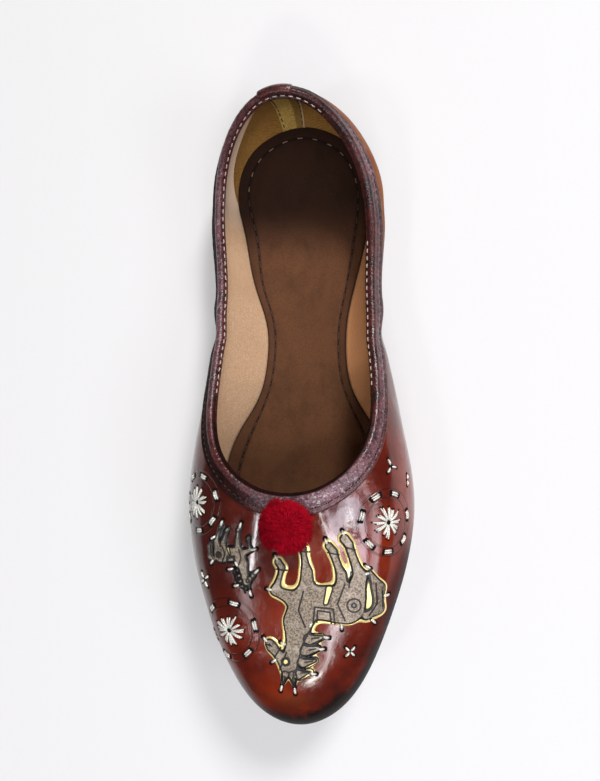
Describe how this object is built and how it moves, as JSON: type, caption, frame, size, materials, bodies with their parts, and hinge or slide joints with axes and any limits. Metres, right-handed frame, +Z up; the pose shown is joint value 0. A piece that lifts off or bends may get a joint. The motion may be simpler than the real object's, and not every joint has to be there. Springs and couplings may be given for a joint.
{
  "type": "embroidered ballet flat",
  "caption": "Slip-on leather ballet flat with a rounded toe, bound topline, low heel lift, stitched rosettes, foil leather figures and a wool pompom on the vamp.",
  "frame": {"origin": "centre of the shoe's bounding box, on the floor under it", "axes": "-Y to the toe, +Y to the heel, +X to the wearer's left when the toe points away from the wearer, +Z up"},
  "size_m": [0.0904, 0.251, 0.066],
  "materials": {
    "upper_leather": "burnished red-brown, very glossy, darker at the toe and edges, orange-tan near the sole",
    "binding_leather": "dark maroon-brown fine-grained strip, stitched on both sides",
    "insole_suede": "dark brown suede with a stitched darker border",
    "sole_rubber": "black, with a fine silvery speckle on the edge",
    "pompom_wool": "crimson cut wool",
    "lining_cloth": "fine beige woven cloth, ochre strip at the back seam",
    "foil_leather": "gunmetal foil leather, engraved black, with a pale gold cut edge",
    "silver_thread": "silver-white metallic thread"
  },
  "bodies": {
    "root": {"upper": "upper_leather", "topline_binding": "binding_leather", "insole": "insole_suede", "outsole": "sole_rubber", "heel_lift": "sole_rubber", "pompom": "pompom_wool"}
  },
  "joints": []
}
